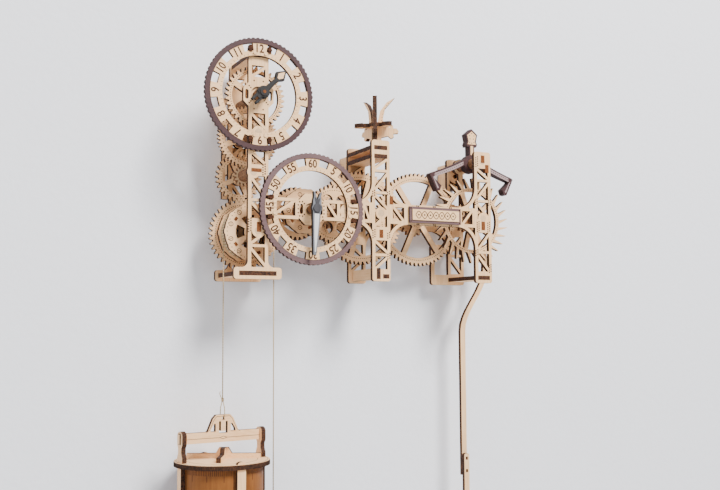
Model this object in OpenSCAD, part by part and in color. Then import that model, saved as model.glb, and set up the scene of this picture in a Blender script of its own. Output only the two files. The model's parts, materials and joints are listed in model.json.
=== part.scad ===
// Weight driven wooden wall clock, laser cut from thin plywood.
// Three truss towers carry two dials, a gear train, an anchor and a pendulum.
// X runs along the wall, Y points into the wall, Z is up.
// The wall plane is Y = 0 and the wall screws lie on Z = 0.

/* [Plywood] */
// Thickness of every cut sheet
ply = 4; // [3.8:0.1:4]
// Width of one tower
tower_w = 18.4; // [17:0.2:20]
// Width of the truss bars
bar_w = 3; // [2.6:0.2:3.4]

/* [Dials] */
// Outside radius of a dial ring
dial_r = 49.5; // [48:0.5:50]
// Inside radius of the numeral band
band_r = 34; // [33:0.5:35]
// Number of small scallops around a dial
scallops = 72; // [60:12:84]

/* [Drive] */
// Radius from the drum axis to the middle of the cord
cord_wrap_r = 22.5; // [22.5:0.1:23]
// Diameter of the drive cord
cord_d = 1; // [0.8:0.1:1.2]

/* [Pendulum] */
// Distance from the pendulum pivot to the middle of the bob
pendulum_l = 441.6; // [430:0.2:450]
// Radius of the bob
bob_r = 24; // [20:1:26]

/* [Weight] */
// Radius of the weight's lid
lid_r = 40.6; // [40:0.2:42]
// Height of the weight's panels
panel_h = 92; // [80:2:100]

/* [Hidden] */
$fn = 64;

// colours of the finished pieces
birch = [0.86, 0.74, 0.58];
birch_dark = [0.78, 0.64, 0.46];
burnt = [0.36, 0.20, 0.12];
plum = [0.40, 0.26, 0.28];
black = [0.08, 0.07, 0.07];
steel_grey = [0.36, 0.37, 0.40];
amber = [0.72, 0.46, 0.22];
twine = [0.84, 0.74, 0.56];

// tower heights, all measured from the wall screw line
bottom_z = -110;
beam_z = bottom_z + 62.2;
hour_z = bottom_z + 159.5;
pivot_z = bottom_z + 118;
left_x = -115;
centre_x = 4.1;
right_x = 115.02;
left_top = bottom_z + 201;
centre_top = bottom_z + 129.7;
right_top = bottom_z + 127;

// front faces of the sheets, counted into the clock from the front frame
front_y = -68;
back_gap = 50;
back_y = front_y + back_gap;
dial_y = front_y - ply;
function layer(depth) = front_y + depth;
hour_layer = layer(8);
flange_layer = layer(14);
escape_layer = layer(20);
pinion_layer = layer(26);
rear_flange_layer = layer(31);
minute_layer = layer(33);
fifth_layer = layer(34);
great_layer = layer(37);
rod_layer = layer(39);
fourth_layer = layer(43);

// gear teeth
train_m = 1.45;
fifth_m = 1.47;
hour_m = 1.132;
addendum = 0.85;
dedendum = 1.2;
backlash = 0.12;
pressure = 22;
shaft_r = 3;
run_gap = 0.06;
great_n = 42;
transfer_n = 28;
minute_n = 32;
third_pinion_n = 16;
third_n = 36;
fourth_pinion_n = 12;
fourth_n = 60;
fifth_pinion_n = 20;
fifth_n = 60;
escape_pinion_n = 12;
escape_n = 30;
transfer_pinion_n = 14;
reduction_n = 48;
reduction_pinion_n = 9;
hour_n = 36;

function spacing(a, b, m) = (a + b) * m / 2;
// phase of a gear that meshes with a gear of na teeth at phase pa, seen along direction dir
function mesh_phase(pa, na, dir, nb) = dir + 180 - (0.5 - (dir - pa) * na / 360) * 360 / nb;
function step_from(c, d, dir) = [c[0] + d * cos(dir), c[1] + d * sin(dir)];

great_c = [left_x, bottom_z + 41.5];
to_minute = 22.7;
minute_c = step_from(great_c, spacing(great_n, minute_n, train_m), to_minute);
to_transfer = 95;
transfer_c = step_from(great_c, spacing(great_n, transfer_n, train_m), to_transfer);
third_c = [minute_c[0] + spacing(minute_n, third_pinion_n, train_m), minute_c[1]];
fourth_c = [third_c[0] + spacing(third_n, fourth_pinion_n, train_m), third_c[1]];
fifth_c = [fourth_c[0] + spacing(fourth_n, fifth_pinion_n, train_m), fourth_c[1]];
escape_c = [fifth_c[0] + spacing(fifth_n, escape_pinion_n, fifth_m), fifth_c[1]];
hour_c = [left_x, hour_z];
reduction_c = [left_x, hour_z - spacing(hour_n, reduction_pinion_n, train_m)];
reduction_gap = norm(reduction_c - transfer_c);
reduction_m = 2 * reduction_gap / (transfer_pinion_n + reduction_n);
to_reduction = atan2(reduction_c[1] - transfer_c[1], reduction_c[0] - transfer_c[0]);
anchor_c = [right_x, pivot_z];

great_phase = 0;
minute_phase = mesh_phase(great_phase, great_n, to_minute, minute_n);
transfer_phase = mesh_phase(great_phase, great_n, to_transfer, transfer_n);
transfer_pinion_phase = 0;
reduction_phase = mesh_phase(transfer_pinion_phase, transfer_pinion_n, to_reduction, reduction_n);
reduction_pinion_phase = 0;
hour_phase = mesh_phase(reduction_pinion_phase, reduction_pinion_n, 90, hour_n);
third_pinion_phase = mesh_phase(minute_phase, minute_n, 0, third_pinion_n);
third_phase = 0;
fourth_pinion_phase = mesh_phase(third_phase, third_n, 0, fourth_pinion_n);
fourth_phase = 0;
fifth_pinion_phase = mesh_phase(fourth_phase, fourth_n, 0, fifth_pinion_n);
fifth_phase = 3;
escape_pinion_phase = mesh_phase(fifth_phase, fifth_n, 0, escape_pinion_n);

// a sheet cut to a flat outline, its front face at y
module sheet(y, t = ply) {
    translate([0, y + t, 0]) rotate([90, 0, 0]) linear_extrude(t) children();
}
shaft_end = back_y + ply - 0.2;
module at(c) { translate([c[0], c[1]]) children(); }
module rod_y(c, r, y0, y1) {
    translate([c[0], y1, c[1]]) rotate([90, 0, 0]) cylinder(r = r, h = y1 - y0);
}
module bore_y(c, r) { rod_y(c, r, front_y - 30, 1); }

// involute gear outline
function inv_point(rb, t, turn) = [
    rb * (cos(turn + t) + t * PI / 180 * sin(turn + t)),
    rb * (sin(turn + t) - t * PI / 180 * cos(turn + t))];
function roll_at(rb, r) = r <= rb ? 0 : sqrt(pow(r / rb, 2) - 1) * 180 / PI;
function flank(n, m) =
    let (rp = n * m / 2, rb = rp * cos(pressure), ra = rp + addendum * m,
        rf = rp - dedendum * m, inv_p = tan(pressure) * 180 / PI - pressure,
        half = 90 / n + inv_p - backlash / rp * 180 / PI,
        t0 = roll_at(rb, max(rb, rf)), t1 = roll_at(rb, ra))
    concat([[rf * cos(-half - 0.3), rf * sin(-half - 0.3)]],
        [for (k = [0:4]) inv_point(rb, t0 + (t1 - t0) * k / 4, -half)]);
function turned(p, a) = [p[0] * cos(a) - p[1] * sin(a), p[0] * sin(a) + p[1] * cos(a)];
function gear_points(n, m) =
    let (f = flank(n, m), last = len(f) - 1)
    [for (k = [0:n - 1]) each concat(
        [for (i = [0:last]) turned(f[i], k * 360 / n)],
        [for (i = [last:-1:0]) turned([f[i][0], -f[i][1]], k * 360 / n)])];
module gear_shape(n, m, phase) { rotate(phase) polygon(gear_points(n, m)); }

// a hub, a ring of spokes and a rim as windows cut from a disc
module windows(n, r_in, r_out, spoke, phase) {
    difference() {
        circle(r_out);
        circle(r_in);
        for (k = [0:n - 1]) rotate(phase + k * 360 / n)
            translate([0, -spoke / 2]) square([r_out + 1, spoke]);
    }
}
module round_rect(w, h, r) {
    translate([r, 0]) square([w - 2 * r, h]);
    translate([0, r]) square([w, h - 2 * r]);
    for (x = [r, w - r], y = [r, h - r]) translate([x, y]) circle(r);
}
// a bar of width w between two points
module bar(a, b, w) {
    d = b - a;
    translate(a) rotate(atan2(d[1], d[0])) translate([0, -w / 2]) square([norm(d), w]);
}

// an upright truss: two rails, cross bars and one diagonal in each bay;
// levels are the cross bars' heights; a lean of 1 is a diagonal that rises to
// the right, -1 one that falls, and 0 a bay filled with a solid plate
module tower_truss(levels, leans) {
    x = tower_w / 2 - bar_w / 2;
    last = len(levels) - 1;
    for (s = [-1, 1])
        translate([s * x - bar_w / 2, levels[0]]) square([bar_w, levels[last] - levels[0]]);
    for (k = [0:last - 1]) {
        if (leans[k] == 0) block(-x, x, levels[k], levels[k + 1]);
        else bar([-leans[k] * x, levels[k] + 1], [leans[k] * x, levels[k + 1] - 1], bar_w * 0.8);
    }
    for (z = levels) translate([-x, z - bar_w * 0.4]) square([2 * x, bar_w * 0.8]);
}
// a level truss between x0 and x1 about z
module beam_truss(x0, x1, z, h, bays, lean) {
    w = (x1 - x0 - bar_w) / bays;
    y = h / 2 - bar_w / 2;
    for (s = [-1, 1]) translate([x0, z + s * y - bar_w / 2]) square([x1 - x0, bar_w]);
    for (k = [0:bays - 1]) {
        s = (k % 2 == 0) ? lean : -lean;
        bar([x0 + k * w + 2.5, z - s * y], [x0 + (k + 1) * w + 0.5, z + s * y], bar_w * 0.8);
    }
    for (k = [0:bays]) translate([x0 + k * w, z - y]) square([bar_w, 2 * y]);
}
module block(x0, x1, z0, z1) { translate([x0, z0]) square([x1 - x0, z1 - z0]); }
// a concave corner fillet, its corner at the origin, filling towards +x and +y
module fillet(r) {
    difference() {
        square(r);
        translate([r, r]) circle(r);
    }
}
module corner(x, z, sx, sz, r) { translate([x, z]) scale([sx, sz]) fillet(r); }
module octagon(r) { rotate(22.5) circle(r, $fn = 8); }

// ---- left tower ----
foot_half = 21.7;
foot_h = 10.1;
left_levels = [0, 28.6, 42, 51, 68, 90, 97.5, 111.5, 128, 145];
left_leans = [-1, 1, 0, -1, -1, 0, -1, 1, -1];
hub_r = 5.6;
module left_outline() {
    translate([left_x, 0]) {
        tower_truss([for (h = left_levels) bottom_z + max(h, foot_h - 1)], left_leans);
        tower_truss([hour_z + 14, hour_z + 27, left_top - 2], [1, 0]);
        translate([-tower_w / 2, left_top - 12]) round_rect(tower_w, 12, 2.5);
        block(-tower_w / 2, tower_w / 2, hour_z - 16, hour_z + 16);
        translate([0, hour_z]) octagon(15);
        translate([-foot_half, bottom_z]) round_rect(2 * foot_half, foot_h, 2.5);
        for (s = [-1, 1]) corner(s * (tower_w / 2 - 0.1), bottom_z + foot_h - 0.1, s, 1, 6);
    }
    for (c = [great_c, transfer_c, reduction_c]) at(c) circle(hub_r);
}
module left_holes() {
    for (c = [great_c, transfer_c, reduction_c, hour_c]) bore_y(c, shaft_r + run_gap);
}
spacer_z = left_top - 8;
module left_slots() {
    block(left_x - 17, left_x + 17, bottom_z + 3, bottom_z + 3 + ply);
    block(left_x - 5, left_x + 5, spacer_z, spacer_z + ply);
}
// screw holes through the back plates and the stand-offs, on the Z = 0 line
screw_r = 2.2;
right_tower_x = 115;
module screw_holes() { for (x = [left_x, right_tower_x]) bore_y([x, 0], screw_r); }
// openwork round an arbor: two rounded slots, and a ring sunk in the front of the plate
module hub_slots(c, x, w, h)
    for (s = [-1, 1]) translate([c[0] + s * x - w / 2, c[1] - h / 2]) round_rect(w, h, w / 2 - 0.01);
module hub_groove(c, r0, r1) sheet(front_y - 1, 3.4) at(c) difference() {
    circle(r1);
    circle(r0);
}
module left_front_plate() color(birch) difference() {
    sheet(front_y) difference() {
        left_outline();
        left_slots();
        hub_slots(hour_c, 10.7, 3.2, 8.4);
    }
    hub_groove(hour_c, 4.6, 7.5);
    left_holes();
}
module left_back_plate() color(birch) difference() {
    sheet(back_y) difference() {
        union() {
            left_outline();
            block(left_x - 16, left_x - tower_w / 2 + 1, bottom_z + 74, bottom_z + 166);
            translate([left_x, 0]) circle(7);
        }
        block(left_x - 13, left_x - tower_w / 2 - 1, bottom_z + 78, bottom_z + 162);
        left_slots();
    }
    left_holes();
    screw_holes();
}
module cross_board(x0, x1, z0, z1, tenon0, tenon1) {
    translate([x0, front_y + ply, z0]) cube([x1 - x0, back_gap - ply, z1 - z0]);
    translate([tenon0, front_y, z0]) cube([tenon1 - tenon0, back_gap + ply, z1 - z0]);
}
module foot_plate() color(burnt)
    difference() {
        z = bottom_z + 3;
        cross_board(left_x - 19, left_x + 19, z, z + ply, left_x - 17, left_x + 17);
        for (p = [[-cord_wrap_r, weight_cord_y], [cord_wrap_r, pull_cord_y]])
            translate([left_x + p[0] - 2.5, p[1] - 3, z - 1]) cube([5, 6, ply + 2]);
        for (s = [-1, 1])
            translate([left_x + s * cord_wrap_r - 4, front_y + 10, z - 1]) cube([8, 26, ply + 2]);
    }
module left_spacers() color(burnt)
    cross_board(left_x - 7.5, left_x + 7.5, spacer_z, spacer_z + ply, left_x - 5, left_x + 5);

// ---- minute beam, between the left tower and the main frame ----
beam_h = 18.5;
lap_x = -24;
module minute_beam() color(birch) difference() {
    sheet(front_y) difference() {
        union() {
            beam_truss(left_x + tower_w / 2 + 0.02, minute_c[0] - 12, beam_z, beam_h, 1, 1);
            beam_truss(minute_c[0] + 12, lap_x - 0.02, beam_z, beam_h, 2, -1);
            at(minute_c) octagon(15);
            at(third_c) circle(6.6);
        }
        hub_slots(minute_c, 9.4, 3.2, 9);
    }
    hub_groove(minute_c, 3.6, 5.8);
    bore_y(minute_c, shaft_r + run_gap);
    bore_y(third_c, shaft_r);
}

// ---- main frame: centre tower, name beam and right tower in one sheet ----
arm_r = 20;
// a curved brace: the quarter arc that joins a rail to the beam
module brace(x, sx, sz, r) {
    intersection() {
        translate([x + sx * r, beam_z + sz * (beam_h / 2 + r)]) difference() {
            circle(r + bar_w);
            circle(r);
        }
        translate([min(x - sx * bar_w, x + sx * r),
            beam_z + min(sz * (beam_h / 2 - bar_w), sz * (beam_h / 2 + r))])
            square([r + bar_w, r + bar_w]);
    }
}
centre_levels = [9, 24, 38.5, 48.4, 64.4, 81, 101.2, 114];
centre_leans = [1, -1, 0, 1, -1, 1, 1];
right_levels = [9, 29.4, 49.7, 60.3, 79, 98.9, 112];
right_leans = [-1, 1, 0, -1, 1, -1];
module tower_outline(x, top, levels, leans) {
    translate([x, 0]) {
        tower_truss([for (h = levels) bottom_z + h], leans);
        translate([-tower_w / 2, bottom_z]) round_rect(tower_w, 11, 2.5);
        translate([-tower_w / 2, bottom_z + levels[len(levels) - 1] - 1])
            round_rect(tower_w, top - bottom_z - levels[len(levels) - 1] + 1, 2.5);
    }
}
module main_outline() {
    tower_outline(centre_x, centre_top, centre_levels, centre_leans);
    tower_outline(right_x, right_top, right_levels, right_leans);
    half = tower_w / 2;
    beam_truss(lap_x, centre_x - half + 0.1, beam_z, beam_h, 2, 1);
    beam_truss(centre_x + half - 0.1, right_x - half + 0.1, beam_z, beam_h, 6, -1);
    lap_brace_r = centre_x - half - lap_x - 0.02;
    brace(centre_x - half, -1, 1, lap_brace_r);
    brace(centre_x - half, -1, -1, lap_brace_r);
    brace(centre_x + half, 1, 1, arm_r);
    brace(centre_x + half, 1, -1, arm_r);
    brace(right_x - half, -1, 1, arm_r);
    brace(right_x - half, -1, -1, arm_r);
    for (c = [fourth_c, escape_c, fifth_c, anchor_c]) at(c) circle(hub_r);
    block(name_x0 - 2, name_x1 + 2, beam_z - beam_h / 2 + 0.5, beam_z + beam_h / 2 - 0.5);
}
shelf_z = [centre_top - 9, centre_top - 17];
right_board_z = bottom_z + 3;
module centre_slots() {
    for (z = shelf_z) block(centre_x - 6.8, centre_x + 6.8, z, z + ply);
    block(centre_x - 5, centre_x - 5 + ply, bottom_z + 2, bottom_z + 12);
    block(centre_x + 1.5, centre_x + 8, bottom_z + 2.5, bottom_z + 2.5 + ply);
}
module right_slots() {
    block(right_x - 6.8, right_x + 6.8, right_board_z, right_board_z + ply);
}
module main_holes() {
    for (c = [fourth_c, fifth_c, escape_c, anchor_c]) bore_y(c, shaft_r + run_gap);
}
module main_front_plate() color(birch) difference() {
    sheet(front_y) difference() {
        main_outline();
        centre_slots();
        right_slots();
    }
    main_holes();
}
// a narrow frame beside the foot of the right back tower
side_w = 29;
side_h = 40;
side_bar = 4;
module side_frame() translate([right_x - side_w, bottom_z]) {
    round_rect(side_w, 10, 2.5);
    translate([0, 2.5]) square([side_bar, side_h - 5]);
    translate([0, side_h - side_bar - 2]) round_rect(side_w, side_bar + 2, 2.5);
}
module main_back_plate() color(birch) difference() {
    sheet(back_y) difference() {
        union() {
            main_outline();
            beam_truss(left_x + tower_w / 2 + 0.02, lap_x + 0.1, beam_z, beam_h, 4, 1);
            at(minute_c) circle(8);
            side_frame();
            translate([right_tower_x, 0]) circle(7);
        }
        centre_slots();
        right_slots();
    }
    main_holes();
    screw_holes();
    bore_y(minute_c, shaft_r + run_gap);
}
module centre_shelves() color(birch_dark) {
    for (z = shelf_z)
        cross_board(centre_x - tower_w / 2, centre_x + tower_w / 2, z, z + ply,
            centre_x - 6.8, centre_x + 6.8);
    cross_board(centre_x - 5, centre_x - 5 + ply, bottom_z + 2, bottom_z + 12,
        centre_x - 5, centre_x - 5 + ply);
    cross_board(centre_x + 1.5, centre_x + 8, bottom_z + 2.5, bottom_z + 2.5 + ply,
        centre_x + 1.5, centre_x + 8);
}
module right_spacers() color(birch_dark) {
    cross_board(right_x - tower_w / 2, right_x + tower_w / 2, right_board_z, right_board_z + ply,
        right_x - 6.8, right_x + 6.8);
}

// ---- stand-offs that hold the back plates clear of the wall ----
module wall_brackets() color(birch_dark) difference() {
    for (x = [left_x, centre_x, right_tower_x])
        translate([x - tower_w / 2, back_y + ply, -12]) cube([tower_w, -back_y - ply, 24]);
    screw_holes();
}

// ---- dials ----
module scalloped(r) {
    difference() {
        circle(r);
        for (k = [0:scallops - 1])
            rotate(k * 360 / scallops) translate([r + 0.55, 0]) circle(1.35, $fn = 24);
    }
}
module dial_border(c) color(plum) difference() {
    sheet(dial_y) at(c) scalloped(dial_r);
    rod_y(c, dial_r - 4.6, dial_y - 1, dial_y + ply + 1);
}
// pegs that join each numeral band to the frame behind it
peg_r = 1.5;
peg_places = concat(
    [for (x = [-5, 5], z = [-36, 36]) [left_x + x, hour_z + z]],
    [for (x = [-36, 36], z = [-5, 5]) [minute_c[0] + x, beam_z + z]]);
module dial_pegs() color(burnt) for (p = peg_places) rod_y(p, peg_r, dial_y - 0.3, front_y);
module dial_face(c) color(birch) difference() {
    sheet(dial_y + 0.5, ply - 0.5) at(c) difference() {
        circle(dial_r - 4.6);
        for (k = [0:11]) rotate(15 + k * 30) intersection() {
            difference() { circle(dial_r); circle(band_r + 4.4); }
            polygon([[0, 0], [60, -60 * tan(6.2)], [60, 60 * tan(6.2)]]);
        }
    }
    rod_y(c, band_r, dial_y - 1, dial_y + ply + 1);
    for (p = peg_places) bore_y(p, peg_r);
}
module hour_dial_border() dial_border(hour_c);
module hour_dial_face() dial_face(hour_c);
module minute_dial_border() dial_border(minute_c);
module minute_dial_face() dial_face(minute_c);
// ---- name board on the beam, left without lettering ----
name_x0 = centre_x + 28.5;
name_x1 = name_x0 + 55.5;
module name_border() color(plum) sheet(front_y - 2.5, 2.5) difference() {
    block(name_x0, name_x1, beam_z - 7.5, beam_z + 7.5);
    block(name_x0 + 2.5, name_x1 - 2.5, beam_z - 5, beam_z + 5);
}
module name_plate() color(birch) sheet(front_y - 3.5, 3.5)
    block(name_x0 + 2.5, name_x1 - 2.5, beam_z - 5, beam_z + 5);

// ---- finial on the centre tower: three vanes and a star ----
finial_y = front_y + 11.5;
spear_h = 48;
vane_angles = [-116, -26, 92];
star_angles = [-62, 33, 150];
module vane_shape() {
    polygon([[2.2, 0], [6, 0], [6, 9], [12, 10.5], [15, 8], [17.5, 9.5], [17, 12.5], [21.5, 13], [22, 15],
        [20, 17.5], [17, 17.5], [17, 20.5], [14.5, 20.5], [14, 18.5], [8.5, 20], [7.5, 27], [9.5, 36],
        [18.5, 46.5], [11, 42], [5, 34], [3, 25], [2.2, 20]]);
}
module spear_shape()
    polygon([[2.2, 0], [6, 0], [6, 11], [12, 12], [13, 15], [8, 18.5], [6, 28],
        [4.6, spear_h], [2.2, spear_h]]);
module finial_vanes() color(birch) translate([centre_x, finial_y, centre_top - 5]) {
    for (k = [0:2]) rotate([0, 0, vane_angles[k]]) rotate([90, 0, 0])
        translate([0, 0, -ply / 2]) linear_extrude(ply) {
            if (k == 0) spear_shape();
            else vane_shape();
        }
}
module finial_star() color(birch) translate([centre_x, finial_y, centre_top + 13.5]) difference() {
    linear_extrude(ply) {
        circle(6);
        for (a = star_angles) rotate(a) {
            translate([0, -2]) square([13, 4]);
            translate([11, 0]) polygon([[0, -4.5], [6.5, -2], [8, 0], [6.5, 2], [0, 4.5]]);
        }
        for (a = vane_angles) rotate(a) translate([0, -4]) square([7, 8]);
    }
    for (a = vane_angles) rotate(a) translate([2, -ply / 2 - 0.02, -1]) cube([9, ply + 0.04, ply + 2]);
}

// ---- drive: drum, great wheel and cord ----
lobes = 10;
tenons = 5;
// a wavy disc with kidney windows and a ring of square tenon holes
module flange(r) {
    step = 360 / tenons;
    difference() {
        union() {
            circle(r - 0.4);
            for (k = [0:lobes - 1]) rotate(k * 360 / lobes) translate([r - 4.2, 0]) circle(4.6);
        }
        for (k = [0:tenons - 1]) rotate((k + 0.5) * step) intersection() {
            difference() {
                circle(r * 0.6);
                circle(r * 0.3);
            }
            polygon([[0, 0], [r, -r * tan(24)], [r, r * tan(24)]]);
        }
        for (k = [0:tenons - 1]) rotate(k * step) translate([r * 0.74, 0]) square([2.6, 3.6], center = true);
    }
}
module great_wheel() color(birch) difference() {
    sheet(great_layer) at(great_c) difference() {
        gear_shape(great_n, train_m, great_phase);
        windows(5, 9, 23, 5, 10);
    }
    bore_y(great_c, shaft_r);
}
module drum_front_flange() color(birch) difference() {
    sheet(flange_layer) at(great_c) flange(25.2);
    bore_y(great_c, shaft_r);
}
module drum_rear_flange() color(birch) difference() {
    sheet(rear_flange_layer) at(great_c) flange(25.2);
    bore_y(great_c, shaft_r);
}
weight_cord_y = layer(25);
pull_cord_y = layer(21);
barrel_r = cord_wrap_r - cord_d / 2;
module drum_barrel() color(birch_dark) difference() {
    rod_y(great_c, barrel_r - 1, flange_layer + ply, rear_flange_layer);
    bore_y(great_c, barrel_r - 6);
}
module drum_arbor() color(birch_dark) {
    rod_y(great_c, shaft_r, front_y, shaft_end);
    rod_y(great_c, 6, rear_flange_layer + ply, great_layer);
    rod_y(great_c, 5, layer(4.6), flange_layer);
    rod_y(great_c, 5, great_layer + ply, back_y - 0.6);
}

// ---- hour train ----
module plain_arbor(c, collars) {
    rod_y(c, shaft_r, front_y, shaft_end);
    for (p = collars) rod_y(c, 5, p[0], p[1]);
}
module transfer_wheel() color(birch) difference() {
    sheet(great_layer) at(transfer_c) difference() {
        gear_shape(transfer_n, train_m, transfer_phase);
        windows(4, 7, 15.5, 4, 25);
    }
    bore_y(transfer_c, shaft_r);
}
module transfer_arbor() color(birch_dark) {
    plain_arbor(transfer_c, [[layer(4.6), pinion_layer], [pinion_layer + ply, great_layer],
        [great_layer + ply, back_y - 0.6]]);
    sheet(pinion_layer) at(transfer_c) gear_shape(transfer_pinion_n, reduction_m, transfer_pinion_phase);
}
module reduction_wheel() color(birch) difference() {
    sheet(pinion_layer) at(reduction_c) difference() {
        gear_shape(reduction_n, reduction_m, reduction_phase);
        windows(4, 9, 22, 5, 20);
    }
    bore_y(reduction_c, shaft_r);
}
module reduction_arbor() color(birch_dark) {
    plain_arbor(reduction_c, [[layer(4.6), hour_layer], [hour_layer + ply, pinion_layer],
        [pinion_layer + ply, back_y - 0.6]]);
    sheet(hour_layer) at(reduction_c) gear_shape(reduction_pinion_n, train_m, reduction_pinion_phase);
}
module hour_wheel() color(birch) difference() {
    sheet(hour_layer) at(hour_c) difference() {
        gear_shape(hour_n, train_m, hour_phase);
        windows(3, 9, 21.5, 5, 30);
    }
    bore_y(hour_c, shaft_r);
}
module hour_arbor() color(birch_dark) {
    rod_y(hour_c, shaft_r, hand_y - 0.6, shaft_end);
    rod_y(hour_c, 5, hand_y + ply, front_y - 0.6);
    rod_y(hour_c, 5, layer(4.6), hour_layer);
    rod_y(hour_c, 4, hour_layer + ply, back_y - 0.6);
}
hand_y = dial_y - 9;
module hand_tail() {
    difference() {
        circle(5.5);
        translate([-1.5, -8]) square([3, 3.8]);
    }
    translate([-3.4, -12]) square([2.2, 10]);
    translate([1.2, -12]) square([2.2, 10]);
}
module hour_hand() color(black) difference() {
    sheet(hand_y) at(hour_c) rotate(-45) {
        hand_tail();
        polygon([[-2.6, 0], [2.6, 0], [1.8, 17], [5, 21.5], [0, 29.5], [-5, 21.5], [-1.8, 17]]);
    }
    bore_y(hour_c, shaft_r);
}

// ---- minute arbor ----
module minute_wheel() color(birch) difference() {
    sheet(minute_layer, 2 * ply) at(minute_c) difference() {
        gear_shape(minute_n, train_m, minute_phase);
        windows(4, 8, 17, 5, 10);
    }
    bore_y(minute_c, shaft_r);
}
module minute_disc() color(birch) difference() {
    sheet(flange_layer) at(minute_c) flange(20.5);
    bore_y(minute_c, shaft_r);
}
module minute_arbor() color(birch_dark) {
    rod_y(minute_c, shaft_r, hand_y - 0.6, shaft_end);
    rod_y(minute_c, 4, hand_y + ply, front_y - 0.6);
    rod_y(minute_c, 5, layer(4.6), flange_layer);
    rod_y(minute_c, 6, flange_layer + ply, minute_layer);
    rod_y(minute_c, 5, minute_layer + 2 * ply, back_y - 0.6);
}
module minute_hand() color(steel_grey) difference() {
    sheet(hand_y) at(minute_c) rotate(177) {
        circle(4.6);
        for (s = [-1, 1]) scale([s, 1]) {
            polygon([[-0.1, 0], [3.7, 0], [3.5, 8], [2.7, 20], [2, 32], [1.3, 41], [-0.1, 41]]);
            polygon([[-0.1, 0], [4, 0], [4, -6], [3.3, -10], [3.8, -14.2], [2.2, -13], [-0.1, -6.2]]);
        }
    }
    bore_y(minute_c, shaft_r);
}

// ---- third wheel, turning on a fixed axle ----
module third_axle() color(birch_dark) {
    rod_y(third_c, shaft_r, front_y, minute_layer + ply + 1);
    rod_y(third_c, 5, front_y + ply, pinion_layer - 0.4);
}
module third_wheel() color(birch) difference() {
    sheet(pinion_layer) at(third_c) difference() {
        gear_shape(third_n, train_m, third_phase);
        for (k = [0:5]) rotate(k * 60) translate([14.5, 0]) circle(5.6);
    }
    bore_y(third_c, shaft_r + run_gap);
}
module third_pinion() color(birch_dark) difference() {
    union() {
        sheet(minute_layer) at(third_c) gear_shape(third_pinion_n, train_m, third_pinion_phase);
        rod_y(third_c, 7, pinion_layer + ply, minute_layer);
    }
    bore_y(third_c, shaft_r + run_gap);
}

// ---- fourth, fifth and escape arbors ----
module fourth_wheel() color(birch) difference() {
    sheet(fourth_layer) at(fourth_c) difference() {
        gear_shape(fourth_n, train_m, fourth_phase);
        windows(6, 9, 36.5, 5, 15);
    }
    bore_y(fourth_c, shaft_r);
}
module fourth_arbor() color(birch_dark) {
    plain_arbor(fourth_c, [[layer(4.6), pinion_layer], [pinion_layer + ply, fourth_layer],
        [fourth_layer + ply, back_y - 0.6]]);
    sheet(pinion_layer) at(fourth_c) gear_shape(fourth_pinion_n, train_m, fourth_pinion_phase);
}
module fifth_wheel() color(birch) difference() {
    sheet(fifth_layer) at(fifth_c) difference() {
        gear_shape(fifth_n, fifth_m, fifth_phase);
        windows(6, 9, 37.3, 5, 5);
    }
    bore_y(fifth_c, shaft_r);
}
module fifth_arbor() color(birch_dark) {
    plain_arbor(fifth_c, [[layer(4.6), fifth_layer], [fifth_layer + ply, fourth_layer],
        [fourth_layer + ply, back_y - 0.6]]);
    sheet(fourth_layer) at(fifth_c) gear_shape(fifth_pinion_n, train_m, fifth_pinion_phase);
}
escape_tip_r = 42;
escape_root_r = 32;
function spike(k) = let (a = k * 360 / escape_n) [
    escape_root_r * [cos(a - 3.6), sin(a - 3.6)], escape_tip_r * [cos(a + 4.4), sin(a + 4.4)],
    escape_tip_r * [cos(a + 5.2), sin(a + 5.2)], escape_root_r * [cos(a + 2.4), sin(a + 2.4)]];
module escape_wheel() color(birch) difference() {
    sheet(escape_layer) at(escape_c) difference() {
        polygon([for (k = [0:escape_n - 1]) each spike(k)]);
        windows(5, 8, 28.6, 4.5, 40);
    }
    bore_y(escape_c, shaft_r);
}
module escape_arbor() color(birch_dark) {
    plain_arbor(escape_c, [[layer(4.6), escape_layer], [escape_layer + ply, fifth_layer],
        [fifth_layer + ply, back_y - 0.6]]);
    sheet(fifth_layer) at(escape_c) gear_shape(escape_pinion_n, fifth_m, escape_pinion_phase);
}

// ---- anchor and pendulum ----
anchor_t = 8;
anchor_y = layer(18);
module anchor_shape() {
    circle(9);
    for (s = [-1, 1]) scale([s, 1]) {
        polygon(concat([for (k = [0:8]) arm_edge(k / 8)],
            [for (k = [8:-1:0]) arm_edge(k / 8) - [0, 6.5 - k / 4]]));
        polygon([[46.8, -11.5], [48.2, -12.8], [40.4, -28.8], [37.2, -28.2], [35.4, -23.4], [42, -17.5]]);
    }
    for (s = [-1, 1]) scale([s, 1])
        polygon([[-0.1, 4], [2.8, 4], [2.8, 17.5], [5.2, 17], [6.3, 19.5], [5, 22.5],
            [6.6, 29.5], [-0.1, 35]]);
}
// upper edge of an arm: steep at the hub and flatter towards the corner
function arm_edge(u) = [3 + 43.8 * u, 8.5 - 20 * pow(u, 0.75)];
module anchor() color(plum) difference() {
    sheet(anchor_y, anchor_t) at(anchor_c) anchor_shape();
    bore_y(anchor_c, shaft_r);
}
module anchor_arbor() color(birch_dark)
    plain_arbor(anchor_c, [[layer(4.6), anchor_y], [anchor_y + anchor_t, rod_layer],
        [rod_layer + ply, back_y - 0.6]]);
rod_w = 5.5;
joint_z = bottom_z - 186;
joint_lap = 21;
peg_w = 2.4;
peg_h = 3;
peg_z = [joint_z + 4.5, joint_z + 16.5];
module joint_pegs(grow) for (z = peg_z)
    block(right_x - peg_w / 2 - grow, right_x + peg_w / 2 + grow, z - peg_h / 2 - grow, z + peg_h / 2 + grow);
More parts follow.
